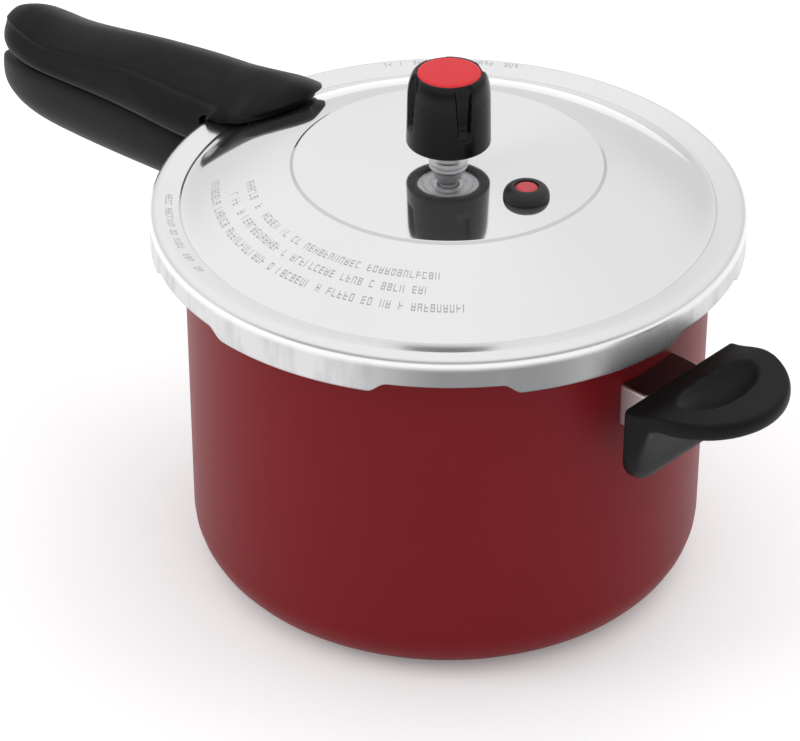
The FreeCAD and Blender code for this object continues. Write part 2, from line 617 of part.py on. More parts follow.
# ---------------------------------------------------------------------------- upper long handle
# Moulded phenolic: a blunt nose over the dome, a heel over the skirt and a drooping grip. Each
# section: reach beyond the lid, half width, its bottom and top against the lid's rim, corner radius.
upper = new_body("upper_handle")
UPPER_SECTIONS = [
    (-43.5, 4.5, 14.6, 18.6, 1.8), (-39.9, 11.5, 12.6, 20.2, 3.2), (-33.9, 19.0, 9.2, 20.4, 4.6),
    (-27.9, 24.0, 6.2, 19.8, 5.2), (-19.9, 24.9, 2.6, 18.7, 5.5), (-11.9, 25.2, 0.7, 17.3, 6.0),
    (-5.9, 25.2, -6.7, 16.5, 7.0), (4.1, 25.5, -12.7, 15.1, 8.0),
    (26.1, 25.0, -14.1, 12.7, 8.0), (46.1, 24.4, -14.1, 9.9, 8.0),
    (66.1, 23.8, -14.5, 6.5, 8.0), (101.1, 23.0, -17.3, -0.3, 7.0),
    (119.1, 20.5, -18.9, -3.5, 6.5), (133.1, 15.5, -18.7, -6.5, 5.5),
    (141.1, 9.5, -16.9, -9.1, 3.5), (144.1, 5.0, -15.5, -10.9, 1.8)]
upper_stations = [(lid_radius + reach, half, rim_top + bottom, rim_top + top, corner)
                  for reach, half, bottom, top, corner in UPPER_SECTIONS]
lofted(upper, "grip", upper_stations)
seat_radius = lid_radius + s.lid_clearance
turned(upper, "lid_seat", [(0, lip_bottom - 10), (seat_radius, lip_bottom - 10), (seat_radius, rim_top),
                           (band_inside - 1, rim_top), (0, rim_top - 2)], kind="Groove")
upper_turns = (-s.nose_screw_turn.value, s.nose_screw_turn.value)
dome_cut(upper, "spacer_seat", s.spacer_radius + s.hole_clearance, Size(-2), s.spacer_height + 2,
         upper_turns)
dome_cut(upper, "insert_seat", s.insert_radius + s.hole_clearance, s.spacer_height,
         s.insert_height, upper_turns)
upper_turn = Rotation(Vector(0, 0, 1), 180)

# -------------------------------------------------------------------------------- sealing ring
# Silicone ring on the pot's rim, inside the lid's rim channel, with a groove round its inside.
ring = new_body("sealing_ring")
ring_inner = inside + s.ring_inset
ring_outer = ring_inner + s.ring_width
turned(ring, "section", [(ring_inner, 0), (ring_outer, 0), (ring_outer, s.ring_height),
                         (ring_inner, s.ring_height), (ring_inner, s.ring_height - s.ring_lip),
                         (ring_inner + s.ring_width / 2, s.ring_height / 2),
                         (ring_inner, s.ring_lip)])
place(ring, z=s.pot_height)

# ------------------------------------------------------------------------------------ vent pipe
# Turned steel pipe through the plateau, with a flared foot outside and a seal and nut inside.
vent = new_body("vent_pipe")
vent_under = -sheet_size - s.vent_seal_height - s.vent_nut_height - 1
vent_tip_radius = s.vent_bore + 0.9
turned(vent, "pipe", [
    (s.vent_bore, vent_under), (s.vent_radius, vent_under), (s.vent_radius, 0),
    (s.vent_foot_radius, 0), (s.vent_foot_radius, s.vent_foot_height),
    (s.vent_radius, s.vent_foot_height + s.vent_flare), (s.vent_radius, s.vent_height - s.vent_tip),
    (vent_tip_radius, s.vent_height), (s.vent_bore, s.vent_height)])
place(vent, z=plateau)
vent_seal = new_body("vent_pipe_seal")
vent_clear = s.vent_radius + s.hole_clearance
turned(vent_seal, "disc", [(vent_clear, 0), (s.vent_seal_radius, 0),
                           (s.vent_seal_radius, s.vent_seal_height),
                           (vent_clear, s.vent_seal_height)])
place(vent_seal, z=plateau_under - s.vent_seal_height)
vent_nut = new_body("vent_pipe_nut")
hexagon = [(s.vent_nut_radius * cosine(Size(60 * n)), s.vent_nut_radius * sine(Size(60 * n)))
           for n in range(6)]
padded(vent_nut, "hexagon", "XY_Plane", hexagon, s.vent_nut_height)
bored(vent_nut, "thread_hole", "XY_Plane", [(0, 0)], vent_clear, s.vent_nut_height * 3, both=True)
place(vent_nut, z=plateau_under - s.vent_seal_height - s.vent_nut_height)

# ------------------------------------------------------------------------------------ regulator
# Weighted cap that rests on the pipe's tip: fluted plastic shell, metal slug, red top disc.
weight_base = plateau + s.weight_gap
slug_radius = s.weight_radius - s.weight_wall
slug_top = s.slug_inset + s.slug_height
cap = new_body("weight_cap")
disc_seat = s.weight_height - s.disc_height + 0.5
turned(cap, "shell", [
    (0, slug_top), (slug_radius + s.hole_clearance, slug_top), (slug_radius + s.hole_clearance, 0),
    (s.weight_radius, 0), (s.weight_shoulder_radius, s.weight_side),
    (s.weight_shoulder_radius - 0.7, s.weight_side + 4),
    (s.weight_top_radius, s.weight_height), (s.disc_radius + s.hole_clearance, s.weight_height),
    (s.disc_radius + s.hole_clearance, disc_seat), (0, disc_seat)])
flute_depth_at = s.weight_shoulder_radius - s.flute_depth
flute = padded(cap, "flute", "XY_Plane",
               [(flute_depth_at + 0.8, -s.flute_width / 2), (s.weight_radius + 4, -s.flute_width / 2),
                (s.weight_radius + 4, s.flute_width / 2), (flute_depth_at + 0.8, s.flute_width / 2,
                                                          -s.flute_width)],
               s.weight_height, offset=s.flute_foot, kind="Pocket", flip=True)
repeated(cap, "flutes", flute, 4)
place(cap, z=weight_base)
cap.Placement.Rotation = Rotation(Vector(0, 0, 1), s.flute_turn.value)
slug = new_body("weight_slug")
slug_bore = s.vent_radius + s.running_gap + 0.3
seat_level = s.vent_height - s.weight_gap
clip_low, clip_high = s.clip_level - 0.15, s.clip_level + s.clip_wire + 0.15
clip_outer = slug_bore + s.clip_wire + 0.4
turned(slug, "turned_slug", [
    (slug_bore, s.slug_inset), (slug_radius, s.slug_inset), (slug_radius, slug_top), (0, slug_top),
    (0, seat_level), (slug_bore, seat_level), (slug_bore, clip_high), (clip_outer, clip_high),
    (clip_outer, clip_low), (slug_bore, clip_low)])
place(slug, z=weight_base)
disc = new_body("weight_disc")
turned(disc, "disc", [(0, disc_seat), (s.disc_radius, disc_seat), (s.disc_radius, s.weight_height
                                                                 - 0.2),
                      (s.disc_radius - 0.6, disc_seat + s.disc_height), (0, disc_seat + s.disc_height)])
place(disc, z=weight_base)
clip = new_body("weight_clip")
clip_inner = s.vent_radius + s.running_gap
turned(clip, "ring", [(clip_inner, 0), (clip_outer - 0.2, 0), (clip_outer - 0.2, s.clip_wire),
                      (clip_inner, s.clip_wire)])
place(clip, z=weight_base + s.clip_level)

# --------------------------------------------------------------------------------- safety valve
# Silicone grommet snapped into the plateau, with a red plunger that rises under pressure.
valve = new_body("safety_valve_grommet")
stem_bore = s.stem_radius + s.running_gap
button_bore = s.button_radius + s.running_gap
cup_floor = s.button_top - s.button_cup - s.cup_sheet
turned(valve, "grommet", [
    (stem_bore, -sheet_size - s.valve_flange_height), (s.valve_flange, -sheet_size
                                                      - s.valve_flange_height),
    (s.valve_flange, -sheet_size), (s.valve_neck, -sheet_size), (s.valve_neck, 0),
    (s.valve_foot, 0), (s.valve_radius, s.valve_brim),
    (s.valve_radius - s.valve_side_inset, s.valve_side),
    (s.valve_radius - s.valve_shoulder_inset, s.valve_shoulder),
    (s.valve_radius - s.valve_mouth_inset, s.valve_height), (button_bore, s.valve_height),
    (button_bore, cup_floor),
    (stem_bore, cup_floor)])
place(valve, x=s.valve_place, z=plateau)
button = new_body("safety_valve_button")
retainer_low = -sheet_size - s.valve_flange_height - s.button_travel - s.retainer_gap \
    - s.retainer_height
stem_low = retainer_low - s.stem_end
turned(button, "plunger", [
    (0, stem_low), (s.stem_radius, stem_low), (s.stem_radius, cup_floor + 0.1),
    (s.button_radius, cup_floor + 0.1), (s.button_radius, s.button_top - s.button_edge),
    (s.button_radius - s.button_edge, s.button_top), (0, s.button_top)])
place(button, x=s.valve_place, z=plateau)
retainer = new_body("safety_valve_retainer")
turned(retainer, "disc", [(s.stem_radius, 0), (s.retainer_radius, 0),
                          (s.retainer_radius, s.retainer_height), (s.stem_radius, s.retainer_height)])
place(retainer, x=s.valve_place, z=plateau + retainer_low)

# ---------------------------------------------------------------------------- check and export
upper.Placement.Rotation = upper_turn
doc.recompute()
for item in doc.Objects:
    if "Invalid" in item.State or "Error" in item.State:
        raise RuntimeError(f"{item.Label} failed: {item.State}")
os.makedirs("parts", exist_ok=True)
SUBPARTS = [item for item in doc.Objects
            if item.TypeId == "PartDesign::Body" or item.TypeId == "Part::Feature"]
for item in SUBPARTS:
    if item.Shape.isNull() or not item.Shape.isValid():
        raise RuntimeError(f"{item.Label} has no valid shape")
    item.Shape.exportStep(f"parts/{item.Label}.step")
print(len(SUBPARTS), "sub-parts")
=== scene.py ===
"""A 22 cm stovetop pressure cooker: pot, bayonet lid, paired long handles, short helper handle,
weight regulator and safety valve. Metres, +Z up, long handles along -X, helper handle along +X."""
import math
import bmesh
import bpy
from mathutils import Matrix, Vector


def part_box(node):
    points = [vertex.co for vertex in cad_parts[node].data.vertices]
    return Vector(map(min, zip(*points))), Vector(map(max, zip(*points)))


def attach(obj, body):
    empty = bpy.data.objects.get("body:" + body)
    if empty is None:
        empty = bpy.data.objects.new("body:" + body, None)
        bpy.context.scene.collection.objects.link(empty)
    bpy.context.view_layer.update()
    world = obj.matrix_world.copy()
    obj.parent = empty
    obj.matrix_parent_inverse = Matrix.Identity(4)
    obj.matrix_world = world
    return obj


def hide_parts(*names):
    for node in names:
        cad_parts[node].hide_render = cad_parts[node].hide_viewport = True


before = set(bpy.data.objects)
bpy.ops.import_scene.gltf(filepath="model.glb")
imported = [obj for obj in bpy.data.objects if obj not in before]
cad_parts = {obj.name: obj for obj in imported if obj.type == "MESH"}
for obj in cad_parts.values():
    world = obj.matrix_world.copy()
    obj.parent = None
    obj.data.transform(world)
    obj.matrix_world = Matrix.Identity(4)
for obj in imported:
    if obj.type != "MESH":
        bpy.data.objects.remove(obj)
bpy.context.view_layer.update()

# ----------------------------------------------------------------------------------------- pot
# The vessel is deep drawn from one aluminium disc, sprayed crimson outside and left satin inside.
# A flange with six bayonet lugs is rolled out just below its rim.
MM = 0.001
pot_low, pot_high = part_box("pot_body")
lug_radius = max(pot_high.y, -pot_low.y)
POT_RADIUS, POT_INSIDE = 110.0 * MM, 107.8 * MM
BASE_CORNER, BASE_SHEET = 22.0 * MM, 3.5 * MM
FLANGE_RADIUS, FLANGE_LOW, FLANGE_HIGH = 114.6 * MM, 153.2 * MM, 156.4 * MM
LUG_PITCH, POT_LUG_MIDDLE, POT_LUG_HALF = 60.0, 41.7, 11.25


def rounded_path(corners, steps=6):
    """Points along a closed path of (across, up, radius) corners, with an arc at each radius."""
    path = []
    for index, corner in enumerate(corners):
        here = Vector(corner[:2])
        radius = corner[2] if len(corner) > 2 else 0
        if not radius:
            path.append(here)
            continue
        back = (Vector(corners[index - 1][:2]) - here).normalized()
        ahead = (Vector(corners[(index + 1) % len(corners)][:2]) - here).normalized()
        half = back.angle(ahead) / 2
        start = here + back * radius / math.tan(half)
        finish = here + ahead * radius / math.tan(half)
        centre = here + (back + ahead).normalized() * radius / math.sin(half)
        turn = (start - centre).angle_signed(finish - centre)
        for step in range(steps + 1):
            spoke = start - centre
            spoke.rotate(Matrix.Rotation(-turn * step / steps, 2))
            path.append(centre + spoke)
    return path


def lathe(name, path, steps, middle=(0, 0)):
    """A turned shape: the half section is spun once round an upright axis."""
    bm = bmesh.new()
    ring = [bm.verts.new((point.x, 0, point.y)) for point in path]
    for one, other in zip(ring, ring[1:] + ring[:1]):
        bm.edges.new((one, other))
    bmesh.ops.spin(bm, geom=bm.verts[:] + bm.edges[:], cent=(0, 0, 0), axis=(0, 0, 1), dvec=(0, 0, 0),
                   angle=math.tau, steps=steps, use_merge=True, use_duplicate=False)
    bmesh.ops.remove_doubles(bm, verts=bm.verts[:], dist=1e-6)
    bmesh.ops.dissolve_degenerate(bm, dist=1e-7, edges=bm.edges[:])
    bmesh.ops.translate(bm, verts=bm.verts[:], vec=(*middle, 0))
    return make_piece(name, bm)


def make_piece(name, bm, smooth_angle=35):
    """Turn a finished bmesh into a shown object with its faces outwards."""
    bmesh.ops.recalc_face_normals(bm, faces=bm.faces[:])
    mesh = bpy.data.meshes.new(name)
    bm.to_mesh(mesh)
    bm.free()
    mesh.shade_smooth()
    mesh.set_sharp_from_angle(angle=math.radians(smooth_angle))
    piece = bpy.data.objects.new(name, mesh)
    bpy.context.scene.collection.objects.link(piece)
    return piece


def stands_for(piece, material, body, slot, *nodes):
    """Give a piece its finish, its body and the CAD nodes that it shows."""
    piece.data.materials.append(material)
    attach(piece, body)
    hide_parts(*nodes)


def lug_share(angle, middle, half, edge):
    """1 on a lug and 0 between lugs, for an angle in degrees round the pot."""
    off = abs((angle - middle + LUG_PITCH / 2) % LUG_PITCH - LUG_PITCH / 2)
    share = min(max((half + edge / 2 - off) / edge, 0), 1)
    return share * share * (3 - 2 * share)


pot = lathe("pot_vessel", rounded_path([
    (0, 0), (POT_RADIUS, 0, BASE_CORNER), (POT_RADIUS, FLANGE_LOW, 0.8 * MM),
    (FLANGE_RADIUS, FLANGE_LOW, 1.2 * MM), (FLANGE_RADIUS, FLANGE_HIGH, 1.2 * MM),
    (POT_RADIUS, FLANGE_HIGH, 0.5 * MM), (POT_RADIUS, pot_high.z, 0.9 * MM),
    (POT_INSIDE, pot_high.z, 0.9 * MM), (POT_INSIDE, BASE_SHEET, BASE_CORNER - BASE_SHEET),
    (0, BASE_SHEET)], 8), 300)
for vertex in pot.data.vertices:
    out = math.hypot(vertex.co.x, vertex.co.y)
    if out > POT_RADIUS + 2.4 * MM:
        turn = math.degrees(math.atan2(vertex.co.y, vertex.co.x))
        reach = lug_share(turn, POT_LUG_MIDDLE, POT_LUG_HALF, 1.6) * (lug_radius - FLANGE_RADIUS)
        vertex.co.xy *= (out + reach) / out


class Value:
    """A number on its way through a finish: sums on it add the Math nodes."""

    def __init__(self, finish, socket):
        self.finish = finish
        self.socket = socket

    def maths(self, operation, *inputs):
        return self.finish.node("Math", {"operation": operation}, dict(enumerate(inputs)))

    def __add__(self, other):
        return self.maths("ADD", self, other)

    def __radd__(self, other):
        return self.maths("ADD", other, self)

    def __sub__(self, other):
        return self.maths("SUBTRACT", self, other)

    def __rsub__(self, other):
        return self.maths("SUBTRACT", other, self)

    def __mul__(self, other):
        return self.maths("MULTIPLY", self, other)

    def __rmul__(self, other):
        return self.maths("MULTIPLY", other, self)

    def __truediv__(self, other):
        return self.maths("DIVIDE", self, other)

    def above(self, edge, soft):
        """0 below the edge and 1 above it, over a soft width."""
        return self.finish.node("MapRange", {"interpolation_type": "SMOOTHSTEP"}, {
            "Value": self, "From Min": edge - soft / 2, "From Max": edge + soft / 2})

    def between(self, low, high, soft):
        return self.above(low, soft) * (1 - self.above(high, soft))


class Finish:
    """A material being mixed. node() adds any node, sets it up and wires what it is given."""

    def __init__(self, name):
        self.material = bpy.data.materials.new(name)
        self.material.use_nodes = True
        self.tree = self.material.node_tree
        self.tree.nodes.clear()
        self.place = self.node("TexCoord", output="Object")

    def node(self, kind, settings=None, inputs=None, output=0):
        made = self.tree.nodes.new("ShaderNode" + kind)
        for key, value in (settings or {}).items():
            setattr(made, key, value)
        for key, value in (inputs or {}).items():
            socket = made.inputs[key]
            if isinstance(value, Value):
                self.tree.links.new(value.socket, socket)
            else:
                socket.default_value = value
        return Value(self, made.outputs[output]) if len(made.outputs) else None

    def stretched(self, scale):
        return self.node("Mapping", inputs={"Vector": self.place, "Scale": scale})

    def noise(self, scale, detail=3, rough=0.5, where=None):
        return self.node("TexNoise", inputs={"Vector": where or self.place, "Scale": scale,
                                             "Detail": detail, "Roughness": rough})

    def part(self, axis):
        """One coordinate of the place on the piece, in metres."""
        return self.node("SeparateXYZ", inputs={"Vector": self.place}, output=axis)

    def blend(self, share, one, other):
        return self.node("Mix", {"data_type": "RGBA"}, {0: share, 6: colour(one), 7: colour(other)},
                         output=2)

    def bump(self, height, depth, strength=1.0):
        return self.node("Bump", inputs={"Height": height, "Distance": depth, "Strength": strength})

    def done(self, **inputs):
        named = {key.replace("_", " "): value for key, value in inputs.items()}
        shader = self.node("BsdfPrincipled", inputs=named)
        self.node("OutputMaterial", inputs={"Surface": shader})
        return self.material


def colour(value):
    return value if isinstance(value, Value) else (*value, 1)


def crimson_coat():
    """Sprayed satin crimson: faint orange peel, slow shifts of depth, a few pale scuffs; darker towards
    the bottom.
    """
    paint = Finish("crimson_coat")
    cloud = paint.noise(9, 2)
    speck = paint.noise(900, 2)
    scuff = paint.noise(60, 6, 0.7, paint.stretched((1, 1, 9))).above(0.74, 0.06)
    low = 1 - paint.part("Z").above(6 * MM, 10 * MM)
    base = paint.blend(cloud, (0.160, 0.0055, 0.0085), (0.185, 0.0080, 0.0115))
    base = paint.blend(scuff * 0.25, base, (0.30, 0.06, 0.06))
    # Darker towards the bottom: the lowest 11 mm blend halfway to near-black.
    base = paint.blend(low * 0.5, base, (0.06, 0.004, 0.006))
    return paint.done(Base_Color=base, Roughness=0.36 + cloud * 0.06 + speck * 0.05, IOR=1.45,
                      Specular_IOR_Level=0.12,
                      Normal=paint.bump(speck + paint.noise(260, 1) * 0.6, 0.00004))


def bare_inside():
    """Satin aluminium with the fine rings that spinning leaves and a slight haze of use."""
    metal = Finish("bare_inside")
    wide = metal.node("VectorMath", {"operation": "LENGTH"}, {0: metal.node(
        "VectorMath", {"operation": "MULTIPLY"}, {0: metal.place, 1: (1, 1, 0)})}, output="Value")
    rings = metal.node("TexNoise", {"noise_dimensions": "1D"}, {"W": wide * 900 + metal.part("Z") * 700,
                                                            "Scale": 1.0, "Detail": 2.0})
    haze = metal.noise(22, 4)
    return metal.done(Base_Color=metal.blend(haze, (0.60, 0.60, 0.61), (0.74, 0.74, 0.75)),
                      Metallic=1.0, Roughness=0.30 + haze * 0.16,
                      Normal=metal.bump(rings, 0.00003))


stands_for(pot, crimson_coat(), "pot", "crimson_pot", "pot_body")
pot.data.materials.append(bare_inside())
for face in pot.data.polygons:
    inwards = face.normal.x * face.center.x + face.normal.y * face.center.y < -1e-4
    face.material_index = int(inwards or face.normal.z > 0.3 or face.center.z > FLANGE_HIGH)

# ----------------------------------------------------------------------------------------- lid
# One pressed and polished aluminium disc: flat plateau, shallow cone, raised rim band and a deep
# skirt whose six lips are turned in to hook under the pot's lugs.
lid_low, lid_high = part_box("lid_shell")
LID_RADIUS = lid_high.x
RIM_TOP = pot_high.z + 11.7 * MM
SHEET = 2.2 * MM
NOTCH_TOP = lid_low.z + 5.3 * MM
BAND_INSIDE, BAND_TOP = 110.4 * MM, RIM_TOP - 1.8 * MM
CONE_FOOT = BAND_TOP - 0.9 * MM
PLATEAU_RADIUS, PLATEAU = 65.0 * MM, lid_high.z
CONE_TOP = PLATEAU - 0.9 * MM
DOME_BULGE = 2.4 * MM
LIP_INSIDE, LID_GAP_MIDDLE, LID_GAP_HALF = 116.0 * MM, 11.7, 12.25
VENT_HOLE = 4.3 * MM
skirt_inside = LID_RADIUS - SHEET


def dome_line(shares, sink=0.0):
    """Points of the bulging dome between its foot (share 0) and the plateau (share 1)."""
    return [(BAND_INSIDE - 0.8 * MM + (PLATEAU_RADIUS - BAND_INSIDE + 0.8 * MM) * share,
             CONE_FOOT + (CONE_TOP - CONE_FOOT) * share + 4 * DOME_BULGE * share * (1 - share) - sink)
            for share in shares]


lid = lathe("lid_pressing", rounded_path([
    (VENT_HOLE, PLATEAU - SHEET), (PLATEAU_RADIUS - 1.6 * MM, PLATEAU - SHEET, 1.4 * MM),
    (PLATEAU_RADIUS - 0.3 * MM, CONE_TOP - SHEET, 1.0 * MM)]
    + dome_line([0.95 - 0.1 * step for step in range(10)], SHEET) + [
    (BAND_INSIDE - 1.1 * MM, CONE_FOOT - SHEET, 0.8 * MM),
    (BAND_INSIDE + 0.4 * MM, BAND_TOP - SHEET, 0.8 * MM),
    (skirt_inside, RIM_TOP - SHEET, 2.2 * MM), (skirt_inside, NOTCH_TOP + 2 * MM),
    (skirt_inside, NOTCH_TOP + 0.4 * MM), (skirt_inside, lid_low.z + SHEET, 0.7 * MM),
    (LIP_INSIDE, lid_low.z + SHEET, 0.6 * MM),
    (LIP_INSIDE, lid_low.z, 0.6 * MM), (LID_RADIUS, lid_low.z, 1.9 * MM),
    (LID_RADIUS, NOTCH_TOP + 0.4 * MM), (LID_RADIUS, NOTCH_TOP + 2 * MM),
    (LID_RADIUS, RIM_TOP, 4.0 * MM),
    (BAND_INSIDE + 1.0 * MM, BAND_TOP, 0.5 * MM), (BAND_INSIDE + 0.1 * MM, CONE_FOOT, 0.5 * MM)]
    + dome_line([0.04 + 0.0575 * step for step in range(17)]) + [
    (PLATEAU_RADIUS + 0.2 * MM, CONE_TOP, 0.6 * MM), (PLATEAU_RADIUS - 1.1 * MM, PLATEAU, 1.2 * MM),
    (VENT_HOLE, PLATEAU)], 7), 576)
for vertex in lid.data.vertices:
    if vertex.co.z < NOTCH_TOP + 0.2 * MM:
        out = math.hypot(vertex.co.x, vertex.co.y)
        turn = math.degrees(math.atan2(vertex.co.y, vertex.co.x))
        share = 1 - 0.94 * lug_share(turn, LID_GAP_MIDDLE, LID_GAP_HALF, 3.6)
        vertex.co.z = NOTCH_TOP + (vertex.co.z - NOTCH_TOP) * share
        inward = max(skirt_inside - out, 0) * (1 - share)
        vertex.co.xy *= (out + inward) / out


def round_and_out(finish):
    """Angle about the upright axis in degrees, and distance from it in metres."""
    x, y = finish.part("X"), finish.part("Y")
    out = (x * x + y * y).maths("SQRT", x * x + y * y)
    return x.maths("ARCTAN2", y, x) * (180 / math.pi), out


def etched_rows(finish, turn, out, rows):
    """Rows of fine etched strokes along arcs, in uneven groups: they spell nothing."""
    cell = level = inside = 0.0
    for radius, tall, start, finish_at, pitch, seed in rows:
        here = out.between(radius - tall * 0.6, radius + tall * 0.6, 0.01 * MM) \
            * turn.between(start, finish_at, 0.02)
        cell = cell + here * ((turn - start) / pitch + seed)
        level = level + here * ((out - radius) / tall)
        inside = inside + here
    whole = cell.maths("FLOOR", cell)
    part = cell - whole

    def chance(offset, share):
        """1 in a random share of the cells."""
        return finish.node("TexWhiteNoise", {"noise_dimensions": "1D"}, {"W": whole + offset},
                           output="Value").above(1 - share, 0.01)

    across = part.between(0.16, 0.78, 0.08)
    ink = part.between(0.14, 0.28, 0.07)
    for stroke in (part.between(0.66, 0.80, 0.07) * chance(0.1, 0.6),
                   across * level.between(0.33, 0.50, 0.07) * chance(1050.3, 0.6),
                   across * level.between(-0.09, 0.08, 0.07) * chance(2090.7, 0.55),
                   across * level.between(-0.50, -0.33, 0.07) * chance(3130.9, 0.5)):
        ink = ink.maths("MAXIMUM", ink, stroke)
    return ink * (1 - chance(4170.2, 0.17)) * level.between(-0.5, 0.5, 0.08) * inside


def polished_lid():
    """Mirror polish with a breath of haze on top, hand-brushed satin on the skirt, etched strokes; painted
    shade in three places.
    """
    metal = Finish("polished_aluminium")
    turn, out = round_and_out(metal)
    height = metal.part("Z")
    full_turn = turn + 360 * (1 - turn.above(0, 0.001))
    marks = etched_rows(metal, full_turn, out, (
        (81.8 * MM, 3.4 * MM, 228.0, 310.0, 1.75, 100), (88.8 * MM, 3.4 * MM, 231.0, 307.0, 1.6, 300),
        (96.2 * MM, 3.4 * MM, 221.0, 316.0, 1.5, 500), (115.6 * MM, 2.8 * MM, 222.0, 254.0, 1.1, 700),
        (118.0 * MM, 2.8 * MM, 117.0, 146.0, 1.1, 900)))
    top = height.above(RIM_TOP - 6 * MM, 3 * MM)
    marks = marks * top
    skirt = 1 - top
    band = out.above(BAND_INSIDE, 1 * MM) * top
    cloud = metal.noise(14, 3)
    rub = metal.noise(120, 5, 0.65, metal.stretched((1, 1, 0.25)))
    fine = metal.noise(1400, 2, 0.6, metal.stretched((1, 1, 0.2)))
    spun = metal.node("TexNoise", {"noise_dimensions": "1D"}, {"W": out * 1500, "Scale": 1.0,
                                                            "Detail": 3.0})
    base = metal.blend(cloud, (0.80, 0.80, 0.805), (0.84, 0.84, 0.84))
    base = metal.blend(skirt * 0.75, base, (0.60, 0.60, 0.605))
    # Painted shade: the skirt is painted much darker on its front, between -60 and -19 degrees round the
    # lid.
    base = metal.blend(skirt * turn.between(-60, -19, 26) * 0.95, base, (0.22, 0.22, 0.225))
    base = metal.blend(skirt * rub.above(0.58, 0.35) * 0.4, base, (0.32, 0.32, 0.33))
    # Painted shade: the top of the lid (plateau, dome and band) is painted darker on its right side, from
    # -20 to 70 degrees round.
    base = metal.blend(turn.between(-20, 70, 50) * top * 0.35, base, (0.62, 0.62, 0.63))
    # Painted shade: a grey line is painted round the plateau's edge.
    crease = out.between(PLATEAU_RADIUS - 1.0 * MM, PLATEAU_RADIUS + 0.3 * MM, 0.5 * MM) * top
    base = metal.blend(crease * 0.55, base, (0.46, 0.46, 0.47))
    base = metal.blend(marks * 0.75, base, (0.24, 0.24, 0.25))
    rough = 0.055 + cloud * 0.03 + band * 0.14 + skirt * (0.20 + rub * 0.22) + marks * 0.3
    relief = spun * 0.10 + skirt * fine * 0.6 - marks * 0.8
    return metal.done(Base_Color=base, Metallic=0.97 - marks * 0.5, Roughness=rough,
                      Normal=metal.bump(relief, 0.00003))


stands_for(lid, polished_lid(), "lid", "polished_aluminium", "lid_shell")

# ------------------------------------------------------------------------------- sealing ring
# Moulded silicone, pressed into the lid's rim channel; its grooved inner side swells on steam.
ring_low, ring_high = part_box("sealing_ring")


def silicone(name, base, other):
    """Moulded rubber: soft sheen, fine dust and a slight mottle."""
    rubber = Finish(name)
    cloud = rubber.noise(40, 3)
    grain = rubber.noise(1600, 2)
    return rubber.done(Base_Color=rubber.blend(cloud, base, other), Roughness=0.44 + cloud * 0.16,
                       Normal=rubber.bump(grain, 0.00002))


RING_INSIDE = POT_INSIDE + 0.5 * MM
ring = lathe("sealing_ring_moulding", rounded_path([
    (RING_INSIDE, ring_low.z, 0.5 * MM), (ring_high.x, ring_low.z, 1.0 * MM),
    (ring_high.x, ring_high.z, 1.2 * MM), (RING_INSIDE, ring_high.z, 0.5 * MM),
    (RING_INSIDE, ring_high.z - 2 * MM, 0.4 * MM),
    (RING_INSIDE + 6.4 * MM, (ring_low.z + ring_high.z) / 2, 0.6 * MM),
    (RING_INSIDE, ring_low.z + 2 * MM, 0.4 * MM)], 5), 240)
stands_for(ring, silicone("grey_silicone", (0.60, 0.60, 0.58), (0.70, 0.69, 0.66)), "ring",
           "seal_silicone", "sealing_ring")

# -------------------------------------------------------------------------- upper long handle
# Compression-moulded phenolic in one piece: a blunt nose over the lid, a heel round its skirt and
# a grip whose ridged back runs down to a crease above flared sides. Two screws hold the nose.


def along(table, at):
    """A smooth reading, between its rows, of a table whose rows begin with their position."""
    last = len(table) - 1
    index = max(i for i in range(last) if table[i][0] <= at or i == 0)
    share = (at - table[index][0]) / (table[index + 1][0] - table[index][0])
    rows = [table[min(max(index + step, 0), last)] for step in (-1, 0, 1, 2)]
    read = []
    for column in range(1, len(table[0])):
        before, start, finish, after = (row[column] for row in rows)
        left = (finish - before) / max(rows[2][0] - rows[0][0], 1e-9) * (rows[2][0] - rows[1][0])
        right = (after - start) / max(rows[3][0] - rows[1][0], 1e-9) * (rows[2][0] - rows[1][0])
        square, cube = share * share, share ** 3
        read.append(start * (2 * cube - 3 * square + 1) + left * (cube - 2 * square + share)
                    + finish * (3 * square - 2 * cube) + right * (cube - square))
    return read


def drawn_bar(name, places, section):
    """A bar drawn out along X: section(place) gives its outline there as (y, z) points."""
    bm = bmesh.new()
    outline = section(places[0])
    ring = [bm.verts.new((places[0], y, z)) for y, z in outline]
    edges = [bm.edges.new((one, other)) for one, other in zip(ring, ring[1:] + ring[:1])]
    bm.faces.new(ring)
    for place in places[1:]:
        grown = bmesh.ops.extrude_edge_only(bm, edges=edges)["geom"]
        edges = [item for item in grown if isinstance(item, bmesh.types.BMEdge)
                 and all(vert in grown for vert in item.verts)]
        new = [item for item in grown if isinstance(item, bmesh.types.BMVert)]
        for vert in new:
            twin = next(edge.other_vert(vert) for edge in vert.link_edges
                        if edge.other_vert(vert) in ring)
            vert.index = ring.index(twin)
        ring = sorted(new, key=lambda vert: vert.index)
        edges = [edge for edge in edges if edge.is_boundary and edge.verts[0] in ring
                 and edge.verts[1] in ring]
        for vert, (y, z) in zip(ring, section(place)):
            vert.co = (place, y, z)
    bm.faces.new(ring)
    return bm


